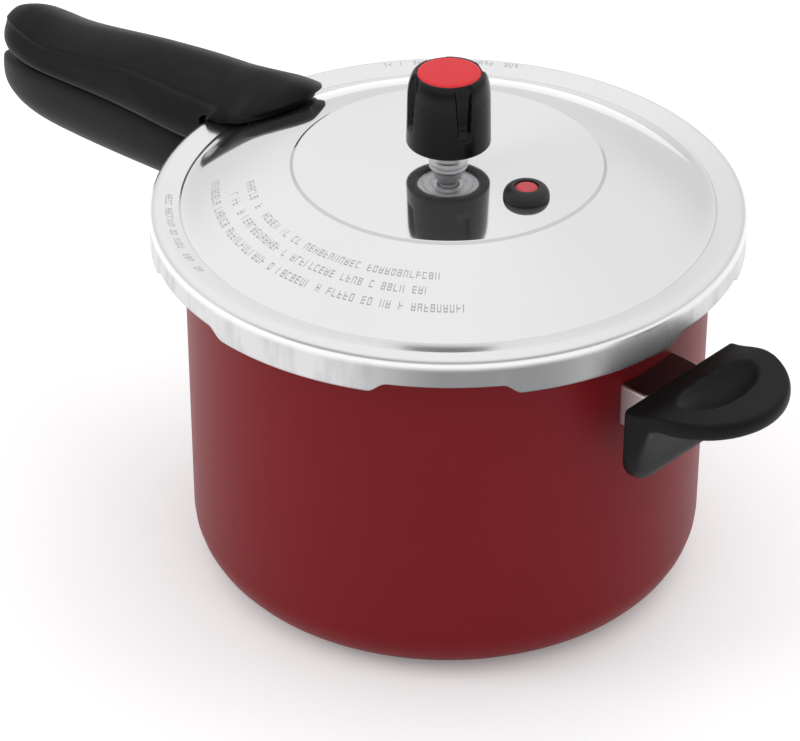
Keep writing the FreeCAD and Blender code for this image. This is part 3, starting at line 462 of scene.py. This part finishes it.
# Reach from the axis, half width at the crease, crown, the crease's level, bottom, foot's half width.
UPPER_GRIP = [
    (80.3, 1.2, 187.0, 186.4, 185.4, 0.6), (80.9, 4.8, 187.8, 186.0, 184.4, 1.4),
    (82.4, 8.6, 188.7, 185.0, 182.4, 1.8), (84.2, 12.0, 189.2, 184.0, 180.8, 4.0),
    (86.5, 14.4, 189.5, 183.1, 179.6, 9.6), (89.5, 17.2, 189.5, 181.8, 178.0, 13.2),
    (93.0, 19.4, 189.2, 180.5, 176.2, 16.4), (97.0, 20.7, 188.9, 179.3, 174.6, 18.6),
    (100.0, 21.2, 188.7, 178.5, 173.2, 19.8), (103.0, 21.0, 188.5, 177.5, 172.0, 20.6),
    (108.0, 20.2, 188.0, 176.4, 170.7, 21.6), (112.0, 19.8, 187.3, 176.0, 170.4, 23.6),
    (117.0, 19.5, 186.4, 175.6, 170.3, 25.3), (121.0, 19.3, 185.6, 175.2, 158.0, 25.6),
    (126.0, 19.1, 184.9, 174.6, 156.6, 25.6), (136.0, 19.0, 183.8, 173.8, 155.8, 25.4),
    (150.0, 18.3, 182.3, 172.8, 155.5, 25.0), (163.0, 17.2, 180.6, 171.8, 155.4, 24.6),
    (180.0, 16.2, 178.1, 170.0, 155.0, 24.1), (202.0, 16.3, 173.8, 166.4, 153.8, 23.5),
    (222.0, 16.7, 170.0, 162.8, 152.3, 22.8), (238.0, 16.2, 167.8, 161.2, 151.1, 21.4),
    (250.0, 14.4, 167.4, 162.0, 150.8, 19.0), (258.5, 12.4, 167.0, 162.6, 151.0, 16.2),
    (265.0, 9.6, 165.2, 162.0, 152.0, 12.2), (268.6, 6.4, 163.4, 161.0, 152.8, 8.2),
    (270.6, 3.0, 161.0, 159.4, 154.6, 3.8)]
HEEL_RADIUS, OVER_RIM = LID_RADIUS + 0.4 * MM, RIM_TOP + 0.55 * MM


def upper_section(place):
    """Ridged back down to an edge, then sides that flare to the foot or, on the nose, curl under."""
    neck, crown, edge, bottom, foot = (size * MM for size in along(UPPER_GRIP, -place / MM))
    side = []
    for step in range(12):
        share = step / 11
        side.append((neck * share, edge + (crown - edge) * (1 - share ** 1.7)))
    drop = edge - bottom
    for share, lean in ((0.06, 0.0), (0.13, 0.03), (0.24, 0.18), (0.40, 0.50), (0.56, 0.80), (0.72, 0.96),
                        (0.86, 1.0)):
        side.append((neck + (foot - neck) * lean, edge - drop * share))
    turned_in = min(drop * 0.12, 1.6 * MM)
    side += [(foot - turned_in * 0.3, bottom + turned_in * 0.3), (foot - turned_in, bottom),
             (foot * 0.5, bottom), (0, bottom)]
    side = [(y, max(z, OVER_RIM) if math.hypot(place, y) < HEEL_RADIUS and z < OVER_RIM
             and -place > 109 * MM else z) for y, z in side]
    return side + [(-y, z) for y, z in reversed(side[1:-1])]


def phenolic(name):
    """Black moulded phenolic: satin, faintly pebbled, rubbed smoother and greyer where it is held."""
    resin = Finish(name)
    cloud = resin.noise(18, 3)
    grain = resin.noise(1500, 2)
    swirl = resin.noise(260, 4, 0.6)
    rub = resin.noise(35, 5, 0.6, resin.stretched((0.3, 1, 1))).above(0.66, 0.14)
    base = resin.blend(cloud, (0.0045, 0.0045, 0.0045), (0.0075, 0.0075, 0.0075))
    base = resin.blend(rub * 0.35, base, (0.016, 0.016, 0.0165))
    return resin.done(Base_Color=base, Roughness=0.40 + swirl * 0.10 - rub * 0.06, IOR=1.5,
                      Specular_IOR_Level=0.12,
                      Normal=resin.bump(grain + swirl * 1.2, 0.00003))


def stations(table, count):
    """Evenly eased places from one end of a table to the other, closer at both ends."""
    first, last = table[0][0], table[-1][0]
    return [-(first + (last - first) * (1 - math.cos(math.pi * step / (count - 1))) / 2) * MM
            for step in range(count)]


NOSE_END, HEEL_END, TAIL_START, GRIP_END = 110, 126, 242, 270.6
grip_places = [-(80.3 + 29.7 * (step / 40) ** 1.5) * MM for step in range(40)] \
    + [-(NOSE_END + 0.5 * step) * MM for step in range(20)] \
    + [-(120 + 0.2 * step) * MM for step in range(30)] \
    + [-(HEEL_END + 2.0 * step) * MM for step in range(58)] \
    + [-(TAIL_START + (GRIP_END - TAIL_START) * (1 - (1 - step / 30) ** 1.7)) * MM for step in range(31)]
bm = drawn_bar("upper_grip", grip_places, upper_section)
upper = make_piece("upper_grip", bm, 60)
upper_finish = phenolic("black_phenolic")
stands_for(upper, upper_finish, "lid", "black_phenolic", "upper_handle")

# -------------------------------------------------------------------------- lower long handle
# The matching moulded grip below: a deep rounded belly and a flat top, pushed on the pot's tang
# and held by one screw from below.
LOWER_GRIP = [
    (122.0, 14.6, 147.0, 124.0), (128.0, 17.0, 148.2, 122.6), (135.0, 18.7, 150.0, 121.6),
    (145.0, 20.3, 152.0, 120.7), (165.0, 21.2, 152.7, 119.8), (190.0, 21.5, 152.3, 118.6),
    (215.0, 21.3, 150.9, 117.8), (235.0, 20.6, 148.9, 117.9), (250.0, 18.7, 147.2, 119.5),
    (262.0, 14.9, 145.2, 122.8), (269.0, 10.2, 143.2, 126.6), (272.8, 4.6, 140.6, 131.6)]


def lower_section(place):
    """Flat-topped, round-bellied outline."""
    half, top, bottom = (size * MM for size in along(LOWER_GRIP, -place / MM))
    tall = top - bottom
    waist = top - tall * 0.36
    side = [(0, top), (half * 0.45, top), (half * 0.84, top), (half * 0.93, top - tall * 0.035),
            (half * 0.975, top - tall * 0.10), (half * 0.995, top - tall * 0.22)]
    for step in range(13):
        angle = math.pi / 2 * step / 12
        side.append((half * math.cos(angle) ** 0.78, waist - (waist - bottom) * math.sin(angle) ** 0.86))
    return side + [(-y, z) for y, z in reversed(side[1:-1])]


bm = drawn_bar("lower_grip", stations(LOWER_GRIP, 80), lower_section)
lower = make_piece("lower_grip", bm, 60)
stands_for(lower, upper_finish, "pot", "black_phenolic", "lower_handle")

# ------------------------------------------------------------------------------ helper handle
# Phenolic again: an upright pad screwed to the bracket carries a D-shaped ledge with a thumb dish.
helper_low, helper_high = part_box("helper_handle")
HELPER_BACK, HELPER_TIP = helper_low.x, helper_high.x
HELPER_HALF = helper_high.y
LEDGE_CENTRE = HELPER_TIP - HELPER_HALF
LEDGE_TOP, BACK_TOP, LEDGE_THICK = 140.0 * MM, 136.0 * MM, 9.0 * MM
END_ROUND, TOP_ROUND = 2.4 * MM, 2.6 * MM
DISH_PLACE, DISH_HALF, DISH_DEEP = HELPER_BACK + 18.5 * MM, 22.5 * MM, 4.4 * MM


def ledge_top(x, y):
    """Height of the ledge: it rises outwards and has a long dish, steepest towards the pot."""
    rise = min(max((x - HELPER_BACK) / (18 * MM), 0), 1)
    top = BACK_TOP + (LEDGE_TOP - BACK_TOP) * rise * rise * (3 - 2 * rise)
    across = (x - DISH_PLACE) / ((7.5 if x < DISH_PLACE else 13.0) * MM)
    out = math.sqrt(across ** 2 + (y / DISH_HALF) ** 2)
    return top - DISH_DEEP * max(1 - out ** 2.6, 0) ** 0.9


def helper_section(y):
    """Side outline of the handle at a distance from its middle plane: (x, z) points."""
    end = HELPER_HALF - abs(y)
    shrink = END_ROUND - math.sqrt(max(END_ROUND ** 2 - max(END_ROUND - end, 0) ** 2, 0))
    tip = LEDGE_CENTRE + math.sqrt(max(HELPER_HALF ** 2 - y * y, 0)) - shrink
    corner = 14 * MM
    over = max(abs(y) - (HELPER_HALF - corner), 0)
    pad_low = helper_low.z + corner - math.sqrt(max(corner ** 2 - over ** 2, 0)) + shrink
    back = HELPER_BACK + shrink * 0.5
    under = LEDGE_TOP - LEDGE_THICK + shrink
    brow = ledge_top(tip - TOP_ROUND, y) - shrink
    points = [(back, BACK_TOP - 1.2 * MM - shrink), (back + 0.4 * MM, BACK_TOP - 0.35 * MM - shrink)]
    rows = 30
    start = back + 1.2 * MM
    for step in range(rows + 1):
        x = start + (tip - TOP_ROUND - start) * step / rows
        points.append((x, ledge_top(x, y) - shrink))
    for step in range(1, 10):
        angle = math.pi * step / 10
        points.append((tip - TOP_ROUND + TOP_ROUND * math.sin(angle) ** 0.8,
                       (brow + under + 1.6 * MM) / 2
                       + (brow - under - 1.6 * MM) / 2 * math.cos(angle)))
    neck = min(HELPER_BACK + 8.5 * MM, tip - TOP_ROUND - 0.2 * MM)
    fillet = min(4 * MM, tip - TOP_ROUND - neck)
    for step in range(9):
        share = step / 8
        x = tip - TOP_ROUND - (tip - TOP_ROUND - neck - fillet) * share
        points.append((x, under + 1.6 * MM - 3.2 * MM * share ** 2))
    foot = pad_low + 2.2 * MM
    start = under - 1.6 * MM
    for step in range(1, 8):
        share = step / 8
        points.append((neck + fillet * (1 - share) ** 2 - 1.6 * MM * share,
                       start + (foot - start) * share ** 0.8))
    points += [(HELPER_BACK + 6.3 * MM - shrink, foot), (HELPER_BACK + 4.4 * MM, pad_low + 0.4 * MM),
               (back + 1.0 * MM, pad_low), (back, pad_low + 1.0 * MM)]
    return points


inner_half = HELPER_HALF - END_ROUND
places = [inner_half * math.sin(math.pi / 2 * (step / 40 - 1)) for step in range(81)]
ends = [HELPER_HALF - END_ROUND * (1 - math.sin(math.pi / 2 * step / 8)) for step in range(1, 9)]
bm = drawn_bar("helper_grip", [-place for place in reversed(ends)] + places + ends, helper_section)
for vertex in bm.verts:
    vertex.co = (vertex.co.y, vertex.co.x, vertex.co.z)
helper = make_piece("helper_grip", bm, 50)
stands_for(helper, upper_finish, "pot", "black_phenolic", "helper_handle")


# ------------------------------------------------------------------- brackets, rivets, screws
# Stamped bright steel channels riveted to the pot, and the plated screws and washers that hold
# the handles. Their CAD shapes are right, so they only take finishes.
def bright_steel(name, base, other, rough, painted_reflection_above=None):
    """Bright sheet or bar: short draw lines, faint stains and a few pits; above a given level, a painted
    near-black reflection.
    """
    metal = Finish(name)
    cloud = metal.noise(45, 4)
    lines = metal.noise(420, 3, 0.6, metal.stretched((1, 1, 0.12)))
    pits = metal.noise(700, 2).above(0.76, 0.08)
    base = metal.blend(cloud, base, other)
    if painted_reflection_above:
        # Painted reflection: above the level the steel is painted near-black, standing in for the shaded
        # pot and skirt that a bracket's top mirrors.
        base = metal.blend(metal.part("Z").above(painted_reflection_above, 0.8 * MM) * 0.85, base, (0.06, 0.05, 0.05))
    return metal.done(Base_Color=base, Metallic=1.0,
                      Roughness=rough + cloud * 0.12 + pits * 0.1,
                      Normal=metal.bump(lines - pits * 0.4, 0.00002))


def refinish(node, material):
    """A CAD node keeps its shape and takes a better finish."""
    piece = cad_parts[node]
    piece.data.materials.clear()
    piece.data.materials.append(material)


# Both brackets take this finish, so both are painted near-black above 0.6 mm under the helper bracket's
# top, the lower bracket's upper part as well.
stamped = bright_steel("stamped_steel", (0.74, 0.75, 0.77), (0.86, 0.87, 0.89), 0.24,
                       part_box("helper_handle_bracket")[1].z - 0.6 * MM)
plated = bright_steel("plated_steel", (0.62, 0.62, 0.62), (0.74, 0.74, 0.74), 0.16)
soft_aluminium = bright_steel("soft_aluminium", (0.70, 0.70, 0.71), (0.80, 0.80, 0.81), 0.30)
brass = bright_steel("turned_brass", (0.60, 0.42, 0.16), (0.72, 0.52, 0.22), 0.24)
for node in ("lower_handle_bracket", "helper_handle_bracket"):
    refinish(node, stamped)
for node in ("lower_handle_screw", "helper_handle_screw", "helper_handle_washer", "nose_screws",
             "weight_clip", "safety_valve_retainer"):
    refinish(node, plated)
for node in ("lower_handle_rivets", "helper_handle_rivets"):
    refinish(node, soft_aluminium)
# Painted shade: the aluminium spacers under the nose take the black phenolic finish, so they read as the
# shaded gap beneath it.
refinish("handle_spacers", upper_finish)
refinish("handle_inserts", brass)
for node in ("nose_screw_washers", "vent_pipe_seal"):
    refinish(node, ring.data.materials[0])

# ----------------------------------------------------------------------------------- vent pipe
# Turned from steel bar and screwed through the plateau with a seal and a nut below; the weight
# rests on its tip.
vent_low, vent_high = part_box("vent_pipe")


def turned_steel():
    """Lathe-turned steel: close tool rings round the axis."""
    metal = Finish("turned_steel")
    turn, out = round_and_out(metal)
    rings = metal.node("TexNoise", {"noise_dimensions": "1D"},
                       {"W": out * 2600 + metal.part("Z") * 2600, "Scale": 1.0, "Detail": 2.0})
    cloud = metal.noise(60, 3)
    return metal.done(Base_Color=metal.blend(cloud, (0.52, 0.52, 0.53), (0.66, 0.66, 0.67)),
                      Metallic=1.0, Roughness=0.18 + rings * 0.16,
                      Normal=metal.bump(rings, 0.00006))


turned = turned_steel()
VENT_RADIUS, VENT_BORE = 4.25 * MM, 1.6 * MM
vent = lathe("vent_tube", rounded_path([
    (VENT_BORE, vent_low.z), (VENT_RADIUS, vent_low.z, 0.4 * MM), (VENT_RADIUS, PLATEAU),
    (8.0 * MM, PLATEAU, 0.3 * MM), (8.0 * MM, PLATEAU + 1.9 * MM, 0.7 * MM),
    (7.3 * MM, PLATEAU + 2.7 * MM, 0.3 * MM), (6.2 * MM, PLATEAU + 5.5 * MM, 2 * MM),
    (5.2 * MM, PLATEAU + 8.0 * MM, 2 * MM), (VENT_RADIUS, PLATEAU + 9.2 * MM, 0.8 * MM),
    (VENT_RADIUS, vent_high.z - 3 * MM, 0.3 * MM),
    (2.5 * MM, vent_high.z, 0.3 * MM), (VENT_BORE, vent_high.z)], 5), 96)
stands_for(vent, turned, "lid", "turned_steel", "vent_pipe")
refinish("vent_pipe_nut", turned)

# ------------------------------------------------------------------------------------ regulator
# A heat-proof plastic cap with four finger flutes is pressed over a turned steel slug; a red disc
# closes its top. The weight sits loose on the vent pipe.
cap_low, cap_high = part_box("weight_cap")
CAP_RADIUS, CAP_SHOULDER, CAP_TOP_RADIUS = cap_high.x, 17.0 * MM, 13.6 * MM
CAP_SHOULDER_UP = cap_low.z + 21 * MM
FLUTE_TURN, FLUTE_WIDE, FLUTE_DEEP = 334.8, 7.6 * MM, 3.3 * MM
SLUG_RADIUS = 13.05 * MM
SLUG_TOP, SLUG_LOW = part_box("weight_slug")[1].z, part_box("weight_slug")[0].z
DISC_RADIUS = 13.0 * MM


def cap_path():
    """Half section of the cap: slightly tapered skirt, round shoulder, shallow seat for the disc."""
    outer = [(CAP_RADIUS, cap_low.z, 0.7 * MM)]
    for step in range(1, 17):
        share = step / 16
        outer.append((CAP_RADIUS - (CAP_RADIUS - CAP_SHOULDER) * share,
                      cap_low.z + (CAP_SHOULDER_UP - cap_low.z) * share))
    for step in range(1, 8):
        angle = math.pi / 2 * step / 8
        outer.append((CAP_TOP_RADIUS + (CAP_SHOULDER - CAP_TOP_RADIUS) * math.cos(angle) ** 0.9,
                      CAP_SHOULDER_UP + (cap_high.z - CAP_SHOULDER_UP) * math.sin(angle) ** 1.1))
    return rounded_path([(0, SLUG_TOP), (SLUG_RADIUS, SLUG_TOP), (SLUG_RADIUS, cap_low.z, 0.4 * MM)]
                        + outer + [(CAP_TOP_RADIUS, cap_high.z, 0.2 * MM),
                                   (DISC_RADIUS + 0.1 * MM, cap_high.z, 0.15 * MM),
                                   (DISC_RADIUS + 0.1 * MM, cap_high.z - 1.0 * MM),
                                   (0, cap_high.z - 1.0 * MM)], 4)


cap = lathe("regulator_cap", cap_path(), 360)
for vertex in cap.data.vertices:
    out = math.hypot(vertex.co.x, vertex.co.y)
    if out > SLUG_RADIUS + 1.6 * MM or (out > DISC_RADIUS + 0.3 * MM and vertex.co.z > SLUG_TOP):
        turn = math.degrees(math.atan2(vertex.co.y, vertex.co.x))
        off = ((turn - FLUTE_TURN + 45) % 90) - 45
        sideways = out * math.radians(off) / (FLUTE_WIDE / 2)
        wide = 0.62 + 0.5 * (vertex.co.z - cap_low.z) / (cap_high.z - cap_low.z)
        shape = max(1 - (sideways / wide) ** 6, 0) ** 0.5
        foot = min(max((vertex.co.z - cap_low.z - 9.0 * MM) / (3.0 * MM), 0), 1)
        deep = min(FLUTE_DEEP, max(out - DISC_RADIUS - 0.45 * MM, 0))
        vertex.co.xy *= (out - deep * shape * foot ** 0.7) / out


def gloss_black(name):
    """Heat-proof gloss plastic with faint handling haze."""
    plastic = Finish(name)
    cloud = plastic.noise(70, 4)
    return plastic.done(Base_Color=plastic.blend(cloud, (0.003, 0.003, 0.0033), (0.006, 0.006, 0.0065)),
                        Roughness=0.20 + cloud * 0.12, Specular_IOR_Level=0.2,
                        Normal=plastic.bump(plastic.noise(900, 2), 0.00002))


def red_plastic(name, base, other, rough):
    """Dyed red: even, with a slight bloom and fine pebbling."""
    plastic = Finish(name)
    cloud = plastic.noise(120, 4)
    return plastic.done(Base_Color=plastic.blend(cloud, base, other), Roughness=rough + cloud * 0.12,
                        Specular_IOR_Level=0.3,
                        Normal=plastic.bump(plastic.noise(1100, 2), 0.00003))


stands_for(cap, gloss_black("black_cap"), "weight", "black_cap", "weight_cap")

PIPE_CLEAR = 4.63 * MM
slug = lathe("regulator_slug", rounded_path([
    (PIPE_CLEAR, SLUG_LOW, 0.3 * MM), (6.6 * MM, SLUG_LOW), (6.9 * MM, SLUG_LOW + 0.5 * MM),
    (7.7 * MM, SLUG_LOW + 0.5 * MM), (8.0 * MM, SLUG_LOW), (10.2 * MM, SLUG_LOW),
    (10.5 * MM, SLUG_LOW + 0.4 * MM), (11.2 * MM, SLUG_LOW + 0.4 * MM), (11.5 * MM, SLUG_LOW),
    (SLUG_RADIUS, SLUG_LOW, 0.3 * MM), (SLUG_RADIUS, SLUG_TOP), (0, SLUG_TOP),
    (0, vent_high.z), (PIPE_CLEAR, vent_high.z)], 4), 128)
stands_for(slug, turned, "weight", "turned_steel", "weight_slug")

disc_low, disc_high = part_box("weight_disc")
disc = lathe("regulator_disc", rounded_path([
    (0, disc_low.z), (DISC_RADIUS, disc_low.z), (DISC_RADIUS, disc_high.z - 0.5 * MM, 0.35 * MM),
    (DISC_RADIUS - 1.2 * MM, disc_high.z, 1.5 * MM), (0, disc_high.z)], 5), 128)
stands_for(disc, red_plastic("red_disc", (0.60, 0.014, 0.020), (0.68, 0.022, 0.030), 0.38), "weight",
           "red_plastic", "weight_disc")

# --------------------------------------------------------------------------------- safety valve
# A silicone grommet snapped through the plateau, with a red plunger that pops up if the vent clogs.
valve_low, valve_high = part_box("safety_valve_grommet")
valve_middle = ((valve_low.x + valve_high.x) / 2, 0)
VALVE_RADIUS = (valve_high.x - valve_low.x) / 2
VALVE_NECK, VALVE_FLANGE, BUTTON_HOLE = 5.95 * MM, 8.4 * MM, 4.88 * MM
STEM_HOLE = 2.48 * MM
VALVE_TOP = PLATEAU + 5.1 * MM
cup_floor = VALVE_TOP - 3.9 * MM
dome = [(VALVE_RADIUS - 0.5 * MM, PLATEAU)]
for step in range(11):
    angle = math.pi / 2 * step / 10
    dome.append((BUTTON_HOLE + 0.6 * MM + (VALVE_RADIUS - BUTTON_HOLE - 0.6 * MM) * math.cos(angle) ** 0.9,
                 PLATEAU + 0.5 * MM + (VALVE_TOP - PLATEAU - 0.5 * MM) * math.sin(angle)))
grommet = lathe("safety_grommet", rounded_path([
    (STEM_HOLE, valve_low.z), (VALVE_FLANGE, valve_low.z, 0.5 * MM),
    (VALVE_FLANGE, PLATEAU - SHEET, 0.4 * MM),
    (VALVE_NECK, PLATEAU - SHEET), (VALVE_NECK, PLATEAU)]
    + dome + [(BUTTON_HOLE, VALVE_TOP, 0.3 * MM), (BUTTON_HOLE, cup_floor),
              (STEM_HOLE, cup_floor)], 4), 120, valve_middle)
stands_for(grommet, silicone("black_silicone", (0.005, 0.005, 0.0055), (0.010, 0.010, 0.0105)), "lid",
           "black_silicone", "safety_valve_grommet")

button_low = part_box("safety_valve_button")[0]
BUTTON_RADIUS, STEM_RADIUS = 4.8 * MM, 2.4 * MM
plunger = lathe("safety_plunger", rounded_path([
    (0, button_low.z), (STEM_RADIUS, button_low.z, 0.4 * MM), (STEM_RADIUS, cup_floor + 0.1 * MM),
    (BUTTON_RADIUS, cup_floor + 0.1 * MM, 0.2 * MM), (BUTTON_RADIUS, VALVE_TOP - 0.8 * MM, 0.6 * MM),
    (BUTTON_RADIUS - 1.6 * MM, VALVE_TOP - 0.1 * MM, 2 * MM), (0, VALVE_TOP - 0.1 * MM)], 5), 72,
                valve_middle)
stands_for(plunger, red_plastic("red_silicone", (0.47, 0.056, 0.066), (0.53, 0.070, 0.080), 0.45),
           "safety_plunger", "red_silicone", "safety_valve_button")

# --------------------------------------------------------------------------------- studio
# White floor, an even sky that is dimmer low on the camera's side, and two soft lights. The
# camera stands at the front right, above, with a long lens.
floor_mesh = bmesh.new()
bmesh.ops.create_grid(floor_mesh, x_segments=1, y_segments=1, size=30)
floor = make_piece("floor", floor_mesh)
floor_paint = Finish("white_floor")
floor.data.materials.append(floor_paint.done(Base_Color=(0.93, 0.93, 0.93, 1), Roughness=0.9,
                                             Specular_IOR_Level=0.1,
                                             Emission_Color=(1, 1, 1, 1), Emission_Strength=0.16))

scene = bpy.context.scene
scene.view_settings.view_transform = "Standard"
world = bpy.data.worlds.new("soft_sky")
world.use_nodes = True


class Sky(Finish):
    """The same mixing, for the light that surrounds the set."""

    def __init__(self, tree):
        self.tree = tree
        self.tree.nodes.clear()
        self.place = self.node("TexCoord", output="Generated")


sky = Sky(world.node_tree)
height = sky.part("Z")
front = sky.node("VectorMath", {"operation": "DOT_PRODUCT"}, {0: sky.place, 1: (0.68, -0.73, 0)},
                 output="Value")
light = (0.80 + height.above(0.35, 0.5) * 0.20) * (1 - front.above(0.35, 0.7)
                                                   * (1 - height.above(0.45, 0.5)) * 0.5)
even = sky.node("CombineXYZ", inputs={0: light, 1: light, 2: light * 1.01})
sky.node("OutputWorld", inputs={"Surface": sky.node("Background", inputs={"Color": even})})
scene.world = world

CAMERA_PLACE = Vector((0.7867, -0.8737, 0.8544))
HEADING, DOWN = math.radians(132.97), math.radians(33.30)
looking = Vector((math.cos(HEADING) * math.cos(DOWN), math.sin(HEADING) * math.cos(DOWN), -math.sin(DOWN)))


def soft_light(name, place, target, size, power):
    """A square softbox that faces a point."""
    lamp = bpy.data.lights.new(name, "AREA")
    lamp.shape = "SQUARE"
    lamp.size = size
    lamp.energy = power
    holder = bpy.data.objects.new(name, lamp)
    holder.location = place
    holder.rotation_euler = (Vector(target) - Vector(place)).to_track_quat("-Z", "Y").to_euler()
    holder.visible_glossy = False
    scene.collection.objects.link(holder)


soft_light("top_light", (0.5, 0.9, 1.7), (0, 0, 0.1), 1.4, 6)
soft_light("left_light", (-1.1, -1.3, 1.0), (0, 0, 0.1), 0.8, 7)

lens = bpy.data.cameras.new("camera")
lens.sensor_width = 36
lens.lens = 147.6
lens.clip_start, lens.clip_end = 0.05, 100
camera = bpy.data.objects.new("camera", lens)
camera.location = CAMERA_PLACE
camera.rotation_euler = looking.to_track_quat("-Z", "Y").to_euler()
scene.collection.objects.link(camera)
scene.camera = camera
